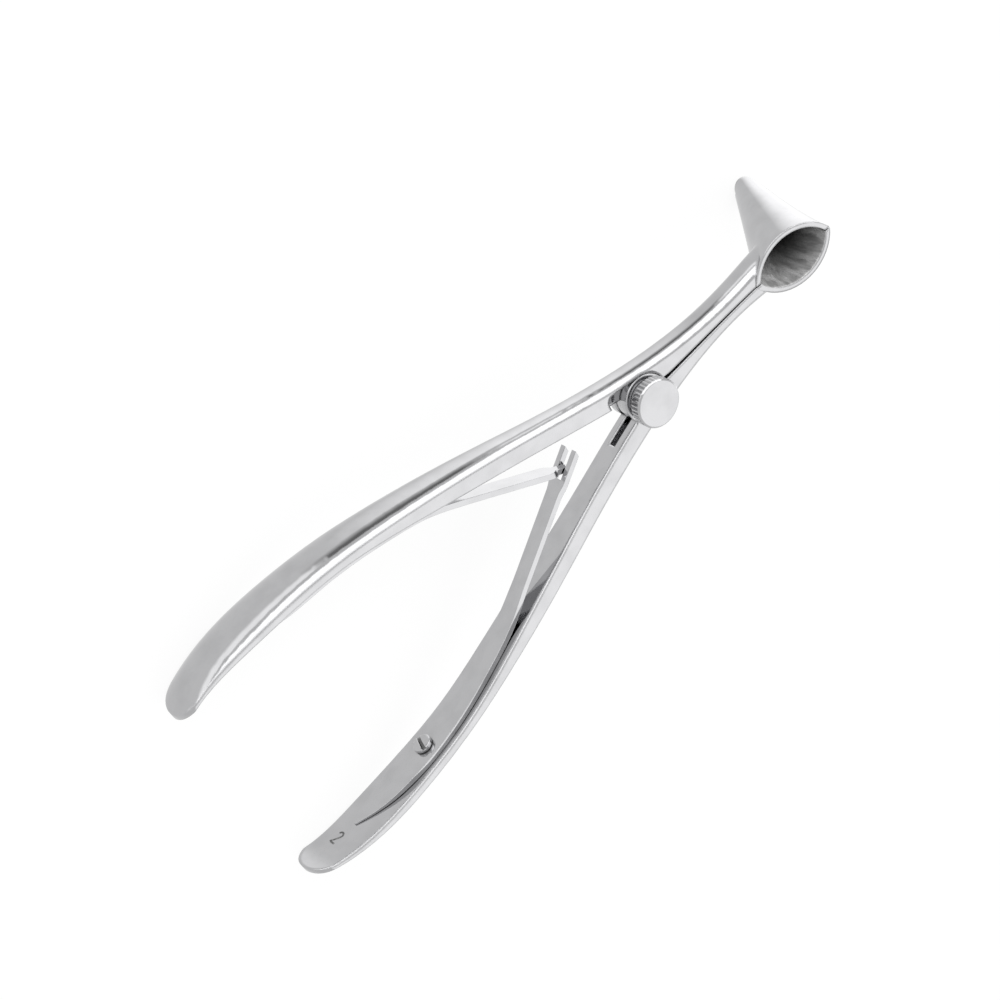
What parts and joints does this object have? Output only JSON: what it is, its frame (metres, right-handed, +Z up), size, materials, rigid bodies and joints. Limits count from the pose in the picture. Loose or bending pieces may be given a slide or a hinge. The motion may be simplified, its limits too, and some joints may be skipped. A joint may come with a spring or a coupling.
{
  "type": "nasal speculum",
  "caption": "Polished steel nasal speculum: squeezing the sprung handles turns them on a box joint and spreads two half-funnel blades.",
  "frame": {"origin": "middle of the bounding box at floor level, under the instrument as it rests on its handle ends and blade tips", "axes": "+X from the handles towards the blades, +Y towards the upper arm, +Z up, with the pivot screw's head on top"},
  "size_m": [0.1502, 0.0546, 0.0258],
  "materials": {
    "arm_steel": "mirror-polished stainless steel with fine polishing marks",
    "spring_steel": "polished stainless spring steel",
    "screw_steel": "turned and polished stainless steel, knurled edge on the thumb screw"
  },
  "bodies": {
    "lower": {"lower_arm": "arm_steel", "lower_spring": "spring_steel", "lower_spring_screw": "screw_steel"},
    "upper": {"upper_arm": "arm_steel", "upper_spring": "spring_steel", "upper_spring_screw": "screw_steel"},
    "screw": {"pivot_screw": "screw_steel"}
  },
  "joints": [
    {"name": "box_joint", "type": "hinge", "parent": "lower", "child": "upper", "pos_m": [0.02416, 0, 0.0153], "axis": [-0.1076, 0, 0.9942], "range_deg": [0, 20], "stiffness_Nm_per_rad": 1, "springref_deg": -8.02, "deforming": ["lower_spring", "upper_spring"]},
    {"name": "thumb_screw_turn", "type": "hinge", "parent": "lower", "child": "screw", "pos_m": [0.02416, 0, 0.0153], "axis": [-0.1076, 0, 0.9942], "continuous": true}
  ]
}
